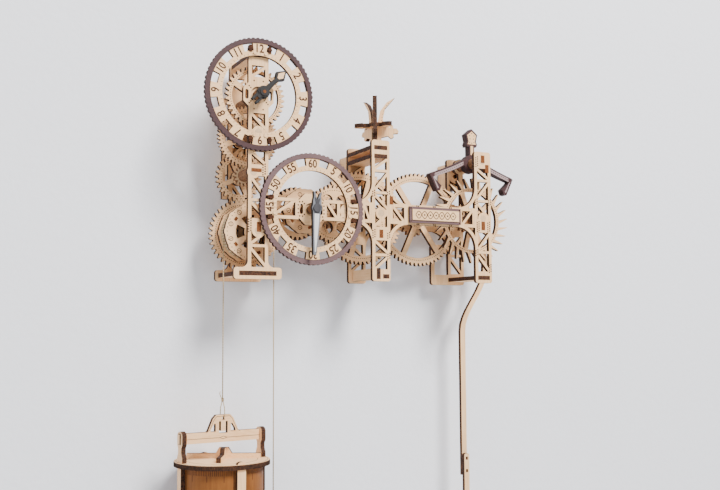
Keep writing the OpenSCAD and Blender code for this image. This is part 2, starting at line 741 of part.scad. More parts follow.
// the rod bows to the right so that it passes the escape arbor
bow = 28;
bow_top = pivot_z;
bow_bottom = bottom_z - 46;
function bow_x(u) = bow * pow(sin(180 * pow(u, 1.35)), 2);
function bow_point(u) = [right_x + bow_x(u), bow_top + (bow_bottom - bow_top) * u];
module pendulum_rod() color(birch) difference() {
    sheet(rod_layer) difference() {
        union() {
            at(anchor_c) circle(8);
            polygon(concat([for (k = [0:24]) bow_point(k / 24) - [rod_w / 2, 0]],
                [for (k = [24:-1:0]) bow_point(k / 24) + [rod_w / 2, 0]]));
            block(right_x - rod_w / 2, right_x + rod_w / 2, joint_z, bow_bottom + 0.1);
        }
        joint_pegs(0);
    }
    bore_y(anchor_c, shaft_r);
}
bob_z = pivot_z - pendulum_l;
module pendulum_strip() color(birch) sheet(rod_layer - ply) difference() {
    translate([right_x - rod_w / 2, bob_z - 4])
        round_rect(rod_w, joint_z + joint_lap - bob_z + 4, 1.5);
    joint_pegs(0);
}
// two pegs through the lapped ends, so that the length can be set
module pendulum_pegs() color(burnt) sheet(rod_layer - ply, 2 * ply) joint_pegs(0);
module pendulum_bob() color(birch) difference() {
    for (y = [rod_layer - 2 * ply, rod_layer]) sheet(y) translate([right_x, bob_z]) circle(bob_r);
    rod_y([right_x, bob_z], 6, rod_layer - 10, rod_layer - ply);
}

// ---- weight ----
weight_x = left_x - cord_wrap_r;
weight_y = weight_cord_y;
lid_z = bottom_z - 153;
bail_z = bottom_z - 115;
// the weight turns a little on its cord
weight_turn = 6;
module hang(z) translate([weight_x, weight_y, z]) rotate(weight_turn) children();
module weight_lid() color(birch) hang(lid_z - ply) difference() {
    cylinder(r = lid_r, h = ply);
    for (k = [0:3]) rotate(k * 90) translate([shell_r + 0.05, -post_w / 2, -1]) cube([ply, post_w, ply + 2]);
}
module weight_base() color(birch) hang(lid_z - 2 * ply - panel_h) cylinder(r = lid_r, h = ply);
shell_r = 34.8;
module weight_panels() color(amber) hang(lid_z - ply - panel_h) difference() {
    cylinder(r = shell_r, h = panel_h);
    translate([0, 0, -1]) cylinder(r = shell_r - 3, h = panel_h + 2);
}
// posts that run from the base up through the lid, with rounded tops
post_w = 7.5;
module weight_posts() color(birch) hang(lid_z - ply - panel_h)
    for (k = [0:3]) rotate(k * 90) translate([shell_r + 0.05 + ply, 0, 0]) rotate([90, 0, -90])
        linear_extrude(ply) {
            translate([-post_w / 2, 0]) square([post_w, panel_h + ply]);
            if (k % 2 == 1) translate([0, panel_h + ply]) scale([1, 0.6]) circle(post_w / 2);
        }
module weight_ballast() color(burnt) hang(lid_z - ply - panel_h) cylinder(r = 26, h = 66);

// the bail: two cheeks, the bar with its arch, a long rib and a cross rib
cheek_x = 36.5;
cheek_w = 11;
bar_top = bail_z - 14;
bar_h = 9;
rib_h = 4;
rib_turn = 32;
module cheek_shape() {
    w = cheek_w / 2;
    h = bar_top - lid_z;
    polygon([[-w, 0], [w, 0], [w, 4], [w - 2, 8], [w - 2, 12], [w, 15], [w, h - 2], [-w, h - 2],
        [-w, 15], [-w + 2, 12], [-w + 2, 8], [-w, 4]]);
    translate([0, h - 2.1]) scale([1, 0.7]) circle(w);
}
module bail_bar() sheet(-ply / 2) difference() {
    union() {
        translate([-cheek_x - 3, bar_top - bar_h]) round_rect(2 * cheek_x + 6, bar_h, 1);
        for (s = [-1, 1]) scale([s, 1])
            polygon([[-0.1, bar_top - 1], [17.5, bar_top - 1], [14, bar_top + 0.6],
                [9.5, bail_z - 3], [6.5, bail_z], [-0.1, bail_z]]);
    }
    for (s = [-1, 1]) scale([s, 1])
        polygon([[7, bar_top], [11.5, bar_top], [11, bar_top + 2.5], [8.4, bar_top + 6.5],
            [7, bar_top + 6.5]]);
    for (x = [-4, 2.2]) block(x, x + 1.8, bar_top - 1, bar_top + 8.5);
    block(-4, 4, bar_top - 1.5, bar_top + 0.3);
    block(-1.1, 1.1, bail_z - 4.4, bail_z - 1.8);
}
module rib_shape(half, rise) {
    polygon([[-half, 0], [half, 0], [half, rib_h], [7, rib_h], [4, rib_h + rise], [-4, rib_h + rise],
        [-7, rib_h], [-half, rib_h]]);
}
module weight_bail() color(birch) hang(0) {
    bail_bar();
    for (s = [-1, 1]) difference() {
        translate([s * cheek_x - ply / 2, 0, lid_z]) rotate([90, 0, 90]) linear_extrude(ply) cheek_shape();
        translate([s * cheek_x - ply, -ply / 2 - 0.01, bar_top - bar_h])
            cube([2 * ply, ply + 0.02, bar_h + 0.01]);
    }
    translate([0, 0, lid_z]) rotate([0, 0, -rib_turn]) {
        sheet(9) rib_shape(32, 5);
        translate([-ply / 2, 0]) rotate([90, 0, 90]) linear_extrude(ply) translate([-6.5, 0])
            polygon([[-16, 0], [15.5, 0], [15.5, 9], [9, 9], [5, rib_h], [-16, rib_h]]);
    }
}

// ---- bead on the free end of the cord ----
pull_x = left_x + cord_wrap_r;
bead_z = bottom_z - 212;
module pull_bead() color(birch) translate([pull_x, pull_cord_y, bead_z]) {
    cylinder(r = 3.4, h = 12);
    translate([0, 0, 12]) cylinder(r1 = 3.4, r2 = 1.4, h = 4);
}

// ---- cords: straight hanging stretches ----
weight_route = [[weight_x, weight_cord_y, bottom_z + 41.5], [weight_x, weight_cord_y, bottom_z - 30],
    [weight_x, weight_cord_y, bail_z + 2]];
pull_route = [[pull_x, pull_cord_y, bottom_z + 41.5], [pull_x, pull_cord_y, bottom_z - 60],
    [pull_x, pull_cord_y, bead_z + 16]];
cord_sides = 8;
module cord_tube(route) {
    n = len(route);
    points = [for (p = route) for (k = [0:cord_sides - 1])
        p + cord_d / 2 * [cos(k * 360 / cord_sides), sin(k * 360 / cord_sides), 0]];
    sides = [for (i = [0:n - 2]) for (k = [0:cord_sides - 1])
        let (a = i * cord_sides + k, b = i * cord_sides + (k + 1) % cord_sides)
        [a, b, b + cord_sides, a + cord_sides]];
    top = [for (k = [cord_sides - 1:-1:0]) k];
    foot = [for (k = [0:cord_sides - 1]) (n - 1) * cord_sides + k];
    polyhedron(points, concat([top], sides, [foot]));
}
module weight_cord() color(twine) cord_tube(weight_route);
module pull_cord() color(twine) cord_tube(pull_route);

left_front_plate();
left_back_plate();
foot_plate();
left_spacers();
minute_beam();
main_front_plate();
main_back_plate();
centre_shelves();
right_spacers();
wall_brackets();
dial_pegs();
hour_dial_border();
hour_dial_face();
minute_dial_border();
minute_dial_face();
name_border();
name_plate();
finial_vanes();
finial_star();
third_axle();
great_wheel();
drum_front_flange();
drum_barrel();
drum_rear_flange();
drum_arbor();
transfer_wheel();
transfer_arbor();
reduction_wheel();
reduction_arbor();
hour_wheel();
hour_arbor();
hour_hand();
minute_wheel();
minute_disc();
minute_arbor();
minute_hand();
third_wheel();
third_pinion();
fourth_wheel();
fourth_arbor();
fifth_wheel();
fifth_arbor();
escape_wheel();
escape_arbor();
anchor();
anchor_arbor();
pendulum_rod();
pendulum_strip();
pendulum_pegs();
pendulum_bob();
weight_lid();
weight_base();
weight_panels();
weight_posts();
weight_bail();
weight_ballast();
pull_bead();
weight_cord();
pull_cord();
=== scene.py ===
import json
import math

import bmesh
import bpy
from mathutils import Matrix, Vector


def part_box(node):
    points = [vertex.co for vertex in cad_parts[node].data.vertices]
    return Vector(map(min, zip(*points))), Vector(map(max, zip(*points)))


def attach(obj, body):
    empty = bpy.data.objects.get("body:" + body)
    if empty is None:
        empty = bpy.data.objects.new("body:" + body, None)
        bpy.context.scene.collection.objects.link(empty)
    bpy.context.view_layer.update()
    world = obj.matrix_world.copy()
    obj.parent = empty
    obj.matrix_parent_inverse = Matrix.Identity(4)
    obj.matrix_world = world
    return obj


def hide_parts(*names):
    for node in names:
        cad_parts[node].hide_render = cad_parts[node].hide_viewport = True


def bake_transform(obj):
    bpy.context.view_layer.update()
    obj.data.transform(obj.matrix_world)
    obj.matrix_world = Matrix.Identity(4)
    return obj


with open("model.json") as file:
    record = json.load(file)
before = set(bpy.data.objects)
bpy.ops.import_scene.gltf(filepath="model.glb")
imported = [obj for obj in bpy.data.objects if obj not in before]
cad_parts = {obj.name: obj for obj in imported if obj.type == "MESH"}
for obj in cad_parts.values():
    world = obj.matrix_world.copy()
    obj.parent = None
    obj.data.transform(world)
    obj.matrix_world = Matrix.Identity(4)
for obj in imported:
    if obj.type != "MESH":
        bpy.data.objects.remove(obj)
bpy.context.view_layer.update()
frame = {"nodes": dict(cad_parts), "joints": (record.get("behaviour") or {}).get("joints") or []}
MM = 0.001

# ---- Camera: a standard lens in front and to the left, a little below the name board, looking up. ----
camera_place = Vector((-402.35, -841.2, -149.6)) * MM
camera_turn, camera_tilt, camera_roll = math.radians(26.45), math.radians(4.76), math.radians(-0.3)
camera_data = bpy.data.cameras.new("camera")
camera_data.sensor_width = 36
camera_data.lens = 48.135
camera_data.clip_start = 0.05
camera = bpy.data.objects.new("camera", camera_data)
bpy.context.collection.objects.link(camera)
camera.matrix_world = (Matrix.Translation(camera_place)
                       @ Matrix.Rotation(-camera_turn, 4, "Z")
                       @ Matrix.Rotation(math.pi / 2 + camera_tilt, 4, "X")
                       @ Matrix.Rotation(camera_roll, 4, "Z"))
bpy.context.scene.camera = camera


# ---- Cords: twisted natural twine, one millimetre thick. One hangs from the drum to the weight's
# knot, the other from the far side of the drum to a turned bead. Both are held straight by what
# hangs on them, and the rest of the cord is wound on the drum.
class Signal:
    """One socket of a material's node tree, which sums and products are written with."""

    def __init__(self, tree, socket=None):
        self.tree, self.socket = tree, socket

    def add(self, kind, settings, sockets, out=0):
        node = self.tree.nodes.new(kind)
        for name, value in settings.items():
            setattr(node, name, value)
        for key, value in sockets.items():
            if isinstance(value, Signal):
                self.tree.links.new(value.socket, node.inputs[key])
            else:
                node.inputs[key].default_value = value
        return Signal(self.tree, node.outputs[out])

    def maths(self, operation, *values):
        return self.add("ShaderNodeMath", {"operation": operation}, dict(enumerate(values)))

    def __add__(self, other):
        return self.maths("ADD", self, other)

    def __sub__(self, other):
        return self.maths("SUBTRACT", self, other)

    def __rsub__(self, other):
        return self.maths("SUBTRACT", other, self)

    def __mul__(self, other):
        return self.maths("MULTIPLY", self, other)

    def __gt__(self, other):
        return self.maths("GREATER_THAN", self, other)

    def __lt__(self, other):
        return self.maths("LESS_THAN", self, other)

    def __abs__(self):
        return self.maths("ABSOLUTE", self)

    def tint(self, first, second):
        """Mixes two colours, the signal being the share of the second."""
        mix = {"data_type": "RGBA"}
        shades = [value if isinstance(value, Signal) else (*value, 1) for value in (first, second)]
        return self.add("ShaderNodeMix", mix, {0: self, 6: shades[0], 7: shades[1]}, out=2)


def start_material(name, roughness, specular=0.4):
    """A new material, its principled shader and a signal that stands for its tree."""
    material = bpy.data.materials.new(name)
    material.use_nodes = True
    shader = material.node_tree.nodes["Principled BSDF"]
    shader.inputs["Roughness"].default_value = roughness
    shader.inputs["Specular IOR Level"].default_value = specular
    return material, shader, Signal(material.node_tree)


def place_axes(tree):
    """The object coordinates, whole and as x, y and z, in metres."""
    spot = tree.add("ShaderNodeTexCoord", {}, {}, out="Object")
    return spot, [tree.add("ShaderNodeSeparateXYZ", {}, {0: spot}, out=k) for k in range(3)]


def noise(tree, spot, stretch, detail=3.0):
    """Noise whose cells are 1/stretch metres long along each axis."""
    mapped = tree.add("ShaderNodeMapping", {}, {"Vector": spot, "Scale": stretch})
    return tree.add("ShaderNodeTexNoise", {}, {"Vector": mapped, "Scale": 1.0, "Detail": detail})


def connect(tree, signal, shader, name):
    tree.tree.links.new(signal.socket, shader.inputs[name])


def bump(tree, shader, height, distance, strength=0.6):
    raised = tree.add("ShaderNodeBump", {}, {"Height": height, "Distance": distance, "Strength": strength})
    connect(tree, raised, shader, "Normal")


def make_twine():
    material, shader, tree = start_material("twine", 0.85, 0.2)
    spot, (x, y, z) = place_axes(tree)
    turn = tree.maths("ARCTAN2", x, y)
    strand = tree.maths("SINE", z * 2600.0 + turn * 2.0) * 0.5 + 0.5
    fuzz = noise(tree, spot, (1800, 1800, 900))
    shade = strand * 0.6 + fuzz * 0.4
    connect(tree, shade.tint((0.26, 0.17, 0.08), (0.60, 0.46, 0.28)), shader, "Base Color")
    bump(tree, shader, strand, 0.0002)
    return material


twine = make_twine()


def new_piece(name, mesh_source, body, material, smooth=False):
    """Turns a bmesh into a finished piece that sits at the origin and rides on a body."""
    mesh = bpy.data.meshes.new(name)
    mesh_source.to_mesh(mesh)
    mesh_source.free()
    mesh.materials.append(material)
    mesh.polygons.foreach_set("use_smooth", [smooth] * len(mesh.polygons))
    piece = bpy.data.objects.new(name, mesh)
    bpy.context.collection.objects.link(piece)
    if body:
        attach(piece, body)
    return piece


def tube_along(bm, points, radius, sides=8):
    """Adds a closed round tube that follows the points."""
    along = (Vector(points[1]) - Vector(points[0])).normalized()
    turn = along.to_track_quat("Z", "Y").to_matrix().to_4x4()
    start = bmesh.ops.create_circle(bm, cap_ends=True, segments=sides, radius=radius,
                                    matrix=Matrix.Translation(points[0]) @ turn)
    end_cap = list({face for vert in start["verts"] for face in vert.link_faces})
    for step, (here, there) in enumerate(zip(points, points[1:])):
        grown = bmesh.ops.extrude_face_region(bm, geom=end_cap)
        verts = [item for item in grown["geom"] if isinstance(item, bmesh.types.BMVert)]
        bmesh.ops.translate(bm, verts=verts, vec=Vector(there) - Vector(here))
        if step > 0:
            bmesh.ops.delete(bm, geom=end_cap, context="FACES_ONLY")
        end_cap = [item for item in grown["geom"] if isinstance(item, bmesh.types.BMFace)]
    bmesh.ops.recalc_face_normals(bm, faces=bm.faces)


cord_radius = 0.5 * MM
drum_axis = Vector(next(j["pos_m"] for j in frame["joints"] if j["name"] == "drum_spin"))
wrap_radius = 22.5 * MM
weight_route = [(-0.1375, -0.043, z) for z in (-0.0685, -0.14, -0.2125)]
pull_route = [(-0.0925, -0.047, z) for z in (-0.0685, -0.17, -0.306)]


def hanging_cord(name, route, node):
    """A straight cord along the route, drawn in place of the CAD cord, which is hidden."""
    bm = bmesh.new()
    tube_along(bm, route, cord_radius)
    piece = new_piece(name, bm, None, twine, smooth=True)
    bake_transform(piece)
    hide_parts(node)


def make_knot():
    """Three short turns round the cord, a loose tail and the loop that goes through the bail."""
    bm = bmesh.new()
    knot = Vector(weight_route[-1])
    turn_radius, turn_rise = 0.9 * MM, 0.8 * MM
    for k, lean in enumerate((0.5, -0.45, 0.4)):
        above = Vector((0, 0, 0.7 * MM - k * turn_rise))
        turn = Matrix.Translation(knot + above) @ Matrix.Rotation(lean, 4, "X")
        angles = [t * math.tau / 12 for t in range(13)]
        round_cord = [turn @ Vector((turn_radius * math.cos(a), turn_radius * math.sin(a), 0)) for a in angles]
        tube_along(bm, round_cord, cord_radius * 0.95, sides=6)
    tail = [(-0.4, 0, 0), (-1.6, -0.3, 2.4), (-2.6, -0.2, 5), (-2.2, 0, 7)]
    tube_along(bm, [knot + Vector(point) * MM for point in tail], 0.4 * MM, sides=6)
    loop = [(0.3, -0.4, -1.5), (1.2, -1.8, -7), (1.1, -2.7, -12), (0.6, -2.6, -16), (0, 0, -16.4)]
    for side in (-1, 1):
        tube_along(bm, [knot + Vector((side * x, side * y, z)) * MM for x, y, z in loop], 0.45 * MM, sides=6)
    return new_piece("weight_knot", bm, "weight", twine, smooth=True)


weight_knot = make_knot()
hanging_cord("weight_cord_line", weight_route, "weight_cord")
hanging_cord("pull_cord_line", pull_route, "pull_cord")


def make_wound_cord():
    """Turns of cord lying side by side on the drum between its flanges."""
    bm = bmesh.new()
    front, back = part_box("drum_front_flange")[1][1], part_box("drum_rear_flange")[0][1]
    turns = int((back - front) / (2 * cord_radius)) - 1
    for k in range(turns):
        y = front + (back - front) / 2 + (k - (turns - 1) / 2) * 2 * cord_radius
        ring = bmesh.ops.create_circle(bm, segments=8, radius=cord_radius,
                                       matrix=Matrix.Translation((drum_axis.x + wrap_radius, y, drum_axis.z)))
        edges = list({edge for vert in ring["verts"] for edge in vert.link_edges})
        bmesh.ops.spin(bm, geom=ring["verts"] + edges, cent=(drum_axis.x, y, drum_axis.z), axis=(0, 1, 0),
                       angle=math.tau, steps=72, use_merge=True)
    bmesh.ops.remove_doubles(bm, verts=bm.verts, dist=1e-6)
    bmesh.ops.recalc_face_normals(bm, faces=bm.faces)
    return new_piece("wound_cord", bm, "drum", twine, smooth=True)


make_wound_cord()


# ---- Room: a pale painted wall behind the clock, a pale floor far below and soft lamps. The wall
# can be seen through from behind, so that the back of the clock shows.
def make_paint(name, colour, grit):
    material, shader, tree = start_material(name, 0.9, 0.2)
    spot, _ = place_axes(tree)
    shade = noise(tree, spot, (grit, grit, grit), detail=5.0)
    connect(tree, shade.tint([c * 0.985 for c in colour], colour), shader, "Base Color")
    bump(tree, shader, shade, 0.0012, 0.35)
    return material


def flat_sheet(name, matrix, half, material):
    bm = bmesh.new()
    bmesh.ops.create_grid(bm, x_segments=1, y_segments=1, size=half, matrix=matrix)
    mesh = bpy.data.meshes.new(name)
    bm.to_mesh(mesh)
    bm.free()
    mesh.materials.append(material)
    sheet = bpy.data.objects.new(name, mesh)
    bpy.context.collection.objects.link(sheet)


wall_paint = make_paint("wall_paint", (0.83, 0.838, 0.885), 160)
wall_tree = Signal(wall_paint.node_tree)
from_behind = wall_tree.add("ShaderNodeNewGeometry", {}, {}, out="Backfacing")
clear = wall_tree.add("ShaderNodeBsdfTransparent", {}, {})
painted = Signal(wall_paint.node_tree, wall_paint.node_tree.nodes["Principled BSDF"].outputs[0])
one_sided = wall_tree.add("ShaderNodeMixShader", {}, {0: from_behind, 1: painted, 2: clear})
output = wall_paint.node_tree.nodes["Material Output"]
wall_paint.node_tree.links.new(one_sided.socket, output.inputs["Surface"])
wall_gap, floor_drop = 0.6 * MM, 1.2
upright = Matrix.Rotation(math.pi / 2, 4, "X")
flat_sheet("wall", Matrix.Translation((0, wall_gap, 0)) @ upright, 4.0, wall_paint)
floor_paint = make_paint("floor_paint", (0.72, 0.72, 0.71), 60)
flat_sheet("floor", Matrix.Translation((0, 0, -floor_drop)), 6.0, floor_paint)

world = bpy.data.worlds.new("room_light")
bpy.context.scene.world = world
world.use_nodes = True
world.node_tree.nodes["Background"].inputs["Color"].default_value = (0.93, 0.96, 1.0, 1)
world.node_tree.nodes["Background"].inputs["Strength"].default_value = 0.62


def soft_lamp(name, place, aim, size, power, colour):
    lamp = bpy.data.lights.new(name, "AREA")
    lamp.shape, lamp.size, lamp.energy, lamp.color = "DISK", size, power, colour
    holder = bpy.data.objects.new(name, lamp)
    bpy.context.collection.objects.link(holder)
    holder.location = place
    holder.rotation_euler = (Vector(aim) - Vector(place)).to_track_quat("-Z", "Y").to_euler()


soft_lamp("window_light", (0.5, -1.7, 1.5), (0, 0, 0), 0.9, 125, (1.0, 0.985, 0.965))
soft_lamp("fill_light", (-1.6, -1.4, 0.2), (0, 0, -0.1), 1.6, 12, (0.95, 0.97, 1.0))


# ---- Birch plywood frames: two upright truss plates a tower, joined by boards whose tenons show at
# the front. Laser cut from 4 mm sheet, so faces are pale and sanded and every cut edge is scorched.
def along(tree, vector, axis):
    return tree.add("ShaderNodeSeparateXYZ", {}, {0: vector}, out=axis)


def sheet_normal(tree):
    return tree.add("ShaderNodeTexCoord", {}, {}, out="Normal")


def flat_in(axis):
    """A mask that is 1 on the faces of a sheet whose thickness runs along the axis."""
    return lambda tree, spot: abs(along(tree, sheet_normal(tree), axis)) > 0.75


def make_plywood(name, face, vein, is_face, grain, roughness=0.6, edge_dark=(0.012, 0.004, 0.002),
                 edge_light=(0.120, 0.042, 0.015)):
    """Plywood with pale grained faces and scorched edges; is_face tells one from the other."""
    material, shader, tree = start_material(name, roughness, 0.3)
    spot, _ = place_axes(tree)
    mask = is_face(tree, spot)
    veins = noise(tree, spot, grain, detail=5.0)
    clouds = noise(tree, spot, (34, 34, 34), detail=2.0)
    shade = (veins - 0.44) * 2.2 + (clouds - 0.5) * 1.1
    wood = tree.maths("MINIMUM", tree.maths("MAXIMUM", shade, 0.0), 1.0).tint(face, vein)
    streaks = noise(tree, spot, (700, 700, 700), detail=2.0)
    burnt = ((streaks - 0.35) * 2.0).tint(edge_dark, edge_light)
    connect(tree, mask.tint(burnt, wood), shader, "Base Color")
    connect(tree, 0.82 - mask * 0.22, shader, "Roughness")
    bump(tree, shader, veins, 0.00006, 0.5)
    return material


birch_face, birch_vein = (0.860, 0.545, 0.290), (0.660, 0.360, 0.155)
upright_grain, level_grain, deep_grain = (1300, 1300, 55), (55, 1300, 1300), (1300, 55, 1300)
birch_upright = make_plywood("birch_upright", birch_face, birch_vein, flat_in(1), upright_grain)
birch_level = make_plywood("birch_level", birch_face, birch_vein, flat_in(1), level_grain)
birch_board = make_plywood("birch_board", birch_face, birch_vein, flat_in(2), deep_grain)


def dress(material, *names):
    """Gives CAD nodes their finish."""
    for name in names:
        mesh = frame["nodes"][name].data
        mesh.materials.clear()
        mesh.materials.append(material)


dress(birch_upright, "left_front_plate", "left_back_plate", "main_front_plate", "main_back_plate")
dress(birch_level, "minute_beam")
dress(birch_board, "foot_plate", "left_spacers", "right_spacers")
dress(make_plywood("stand_off_wood", birch_face, birch_vein, lambda tree, spot: 1 - flat_in(2)(tree, spot),
                   upright_grain), "wall_brackets")


def centre_of(node):
    low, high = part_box(node)
    return (Vector(low) + Vector(high)) / 2


main_low, main_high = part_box("main_front_plate")
plate_front, plate_back, bottom = main_low[1], main_high[1], main_low[2]
left_x, centre_x = centre_of("left_front_plate").x, centre_of("centre_shelves").x
right_x = centre_of("right_spacers").x
low_boards_top = bottom + 12 * MM


def flat_in_shelves(tree, spot):
    """The shelves lie flat, but the left one of the two lowest boards stands on edge."""
    on_edge = (along(tree, spot, 2) < low_boards_top) * (along(tree, spot, 0) < centre_x - 1 * MM)
    return (on_edge * flat_in(0)(tree, spot)) + ((1 - on_edge) * flat_in(2)(tree, spot))


dress(make_plywood("shelf_birch", birch_face, birch_vein, flat_in_shelves, deep_grain), "centre_shelves")


def make_scorch(name, dark, light):
    """Burnt or engraved wood: the ends of tenons and every engraved line and dot."""
    material, shader, tree = start_material(name, 0.85, 0.2)
    spot, _ = place_axes(tree)
    grit = noise(tree, spot, (1100, 1100, 1100), detail=3.0)
    connect(tree, ((grit - 0.3) * 1.8).tint(dark, light), shader, "Base Color")
    bump(tree, shader, grit, 0.0001, 0.6)
    return material


end_grain = make_scorch("end_grain", (0.045, 0.012, 0.004), (0.340, 0.115, 0.036))
engraving = make_scorch("engraving", (0.030, 0.012, 0.007), (0.090, 0.038, 0.020))


def disc(bm, x, z, radius, front, back, sides=12):
    """Adds a round plug whose axis runs into the clock."""
    place = Matrix.Translation((x, (front + back) / 2, z)) @ Matrix.Rotation(math.pi / 2, 4, "X")
    bmesh.ops.create_cone(bm, cap_ends=True, segments=sides, radius1=radius, radius2=radius,
                          depth=back - front, matrix=place)


def brick(bm, x, z, width, height, front, back, turn=0.0):
    """Adds a block seen from the front as width by height, turned about its own middle."""
    place = (Matrix.Translation((x, (front + back) / 2, z)) @ Matrix.Rotation(turn, 4, "Y")
             @ Matrix.Diagonal((width, back - front, height, 1)))
    bmesh.ops.create_cube(bm, size=1, matrix=place)


def plate(bm, outline, front, back):
    """Adds a flat plate cut to an outline of (x, z) points."""
    face = bm.faces.new([bm.verts.new((x, front, z)) for x, z in outline])
    grown = bmesh.ops.extrude_face_region(bm, geom=[face])
    verts = [item for item in grown["geom"] if isinstance(item, bmesh.types.BMVert)]
    bmesh.ops.translate(bm, verts=verts, vec=(0, back - front, 0))
    bmesh.ops.recalc_face_normals(bm, faces=bm.faces)


proud = 0.12 * MM

# Tenon ends: tower, then across, height above the foot, width and height, in millimetres.
bm = bmesh.new()
for tower, across, up, width, height in (
        (left_x, 0.7, 44.8, 4, 8.6), (left_x, -1.7, 93.8, 9.4, 3.2), (centre_x, 0, 43.3, 4, 7.6),
        (centre_x, 10.6, 74.5, 3.6, 7.6), (right_x, 0.5, 120, 4.2, 7.4), (right_x, 5.2, 110.8, 4.2, 7.8),
        (right_x, 0, 55, 4.2, 8.2)):
    brick(bm, tower + across * MM, bottom + up * MM, width * MM, height * MM, plate_front - proud, plate_back)
new_piece("tower_tenons", bm, "frame", end_grain)

# Engraved dots in pairs of short columns beside the tenons and along the beam.
bm = bmesh.new()
dot = 0.72 * MM
dot_depth = 0.07 * MM
for tower, across, up, rows in (
        (left_x, -7.6, 41, 6), (left_x, 6.0, 41, 5), (left_x, 5.2, 90.5, 5), (left_x, -4.6, 103, 1),
        (centre_x, -7.6, 78, 3), (centre_x, 7.6, 80, 2), (centre_x, -7.6, 40, 4), (centre_x, 7.6, 40, 3),
        (centre_x, 7.6, 21, 3), (right_x, -6.4, 113, 5), (right_x, -5.8, 50, 5), (right_x, 6.2, 50, 5),
        (right_x, -7.6, 76, 3), (right_x, 7.6, 76, 3), (right_x, -7.6, 27, 3), (right_x, 7.2, 11, 4)):
    for row in range(rows):
        for column in (-1.0, 1.0):
            disc(bm, tower + (across + column) * MM, bottom + (up + row * 2.1 + column * 0.5) * MM, dot,
                 plate_front - dot_depth, plate_front + dot_depth, sides=8)
beam_z = centre_of("name_plate").z
name_low, name_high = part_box("name_border")
for share in (0.18, 0.5, 0.82):
    for edge in (-8.5, 8.5):
        for pair in (-1, 1):
            spot_x = name_low[0] + share * (name_high[0] - name_low[0]) + pair * 0.9 * MM
            disc(bm, spot_x, beam_z + edge * MM, dot, plate_front - dot_depth, plate_front + dot_depth, 8)
# A few more round the openwork hubs of the two hands.
corners = [(side, level) for side in (-1, 1) for level in (-1, 1)]
for wheel, mirrored, single in (
        ("hour_wheel", ((8.6, 7.4), (7.2, 5.9), (4.2, 12.4)), ()),
        ("minute_wheel", ((12.3, 3.4), (11, 6.2), (8.4, 6.4)),
         ((-12.3, 0), (12.3, 0), (-6.6, 4.8), (-6.6, -4.8)))):
    hub = centre_of(wheel)
    spots = [(side * across, level * up) for across, up in mirrored for side, level in corners]
    for across, up in spots + list(single):
        disc(bm, hub.x + across * MM, hub.z + up * MM, dot, plate_front - dot_depth,
             plate_front + dot_depth, 8)
new_piece("tower_dots", bm, "frame", engraving)


# ---- Dials: a numeral band of birch inside a scalloped border stained plum, one for hours and one for
# minutes. Numerals and ticks are engraved; short clips hold the bands off the frame.
plum_dark, plum_light = (0.022, 0.009, 0.010), (0.050, 0.019, 0.020)
plum = make_plywood("plum_ply", plum_light, plum_dark, flat_in(1), level_grain, 0.55,
                    (0.020, 0.008, 0.008), (0.070, 0.030, 0.030))
faded_plum = make_plywood("faded_plum", (0.130, 0.074, 0.074), (0.080, 0.042, 0.043), flat_in(1),
                          level_grain, 0.55, (0.020, 0.008, 0.008), (0.070, 0.030, 0.030))
dress(plum, "hour_dial_border")
dress(faded_plum, "minute_dial_border", "name_border")
dress(birch_level, "hour_dial_face", "minute_dial_face", "name_plate", "dial_pegs")
clip_brown = make_scorch("clip_brown", (0.018, 0.006, 0.003), (0.120, 0.040, 0.015))
hour_x, hour_z = centre_of("hour_dial_border").x, centre_of("hour_dial_border").z
minute_x, minute_z = centre_of("minute_dial_border").x, centre_of("minute_dial_border").z
band_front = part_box("hour_dial_face")[0][1]
band_inner, band_outer, numeral_r = 34 * MM, 44.9 * MM, 40.3 * MM
numeral_height = 7.6 * MM


def numeral_mesh(text, height):
    """A numeral as a thin mesh, centred and drawn narrow, with its face towards +Z."""
    curve = bpy.data.curves.new("numeral", "FONT")
    curve.body, curve.size = text, 1.0
    curve.align_x = "CENTER"
    curve.bevel_depth, curve.bevel_resolution = 0.024, 0
    curve.resolution_u = 4
    holder = bpy.data.objects.new("numeral", curve)
    bpy.context.collection.objects.link(holder)
    bpy.context.view_layer.update()
    depsgraph = bpy.context.evaluated_depsgraph_get()
    mesh = bpy.data.meshes.new_from_object(holder.evaluated_get(depsgraph))
    bpy.data.objects.remove(holder)
    bpy.data.curves.remove(curve)
    spots = [vert.co for vert in mesh.vertices]
    low = Vector((min(v.x for v in spots), min(v.y for v in spots), 0))
    high = Vector((max(v.x for v in spots), max(v.y for v in spots), 0))
    scale = height / (high.y - low.y)
    narrow, thin = 0.84, 0.3
    shape = Matrix.Diagonal((scale * narrow, scale, scale * thin, 1))
    mesh.transform(shape @ Matrix.Translation(-(low + high) / 2))
    return mesh


def make_numerals(name, centre, labels, upright=()):
    """Twelve numerals whose tops point outwards, apart from the upright ones."""
    bm = bmesh.new()
    for k, label in enumerate(labels):
        angle = k * math.tau / 12
        turn = 0.0 if label in upright else angle
        mesh = numeral_mesh(label, numeral_height)
        place = (Matrix.Translation((centre[0] + numeral_r * math.sin(angle), band_front - 0.02 * MM,
                                     centre[1] + numeral_r * math.cos(angle)))
                 @ Matrix.Rotation(turn, 4, "Y") @ Matrix.Rotation(math.pi / 2, 4, "X"))
        mesh.transform(place)
        bm.from_mesh(mesh)
        bpy.data.meshes.remove(mesh)
    bmesh.ops.remove_doubles(bm, verts=bm.verts, dist=1e-6)
    bmesh.ops.recalc_face_normals(bm, faces=bm.faces)
    return new_piece(name, bm, "frame", engraving)


make_numerals("hour_numerals", (hour_x, hour_z), ["12"] + [str(k) for k in range(1, 12)], upright=("6",))
make_numerals("minute_numerals", (minute_x, minute_z), ["60"] + [str(5 * k) for k in range(1, 12)])


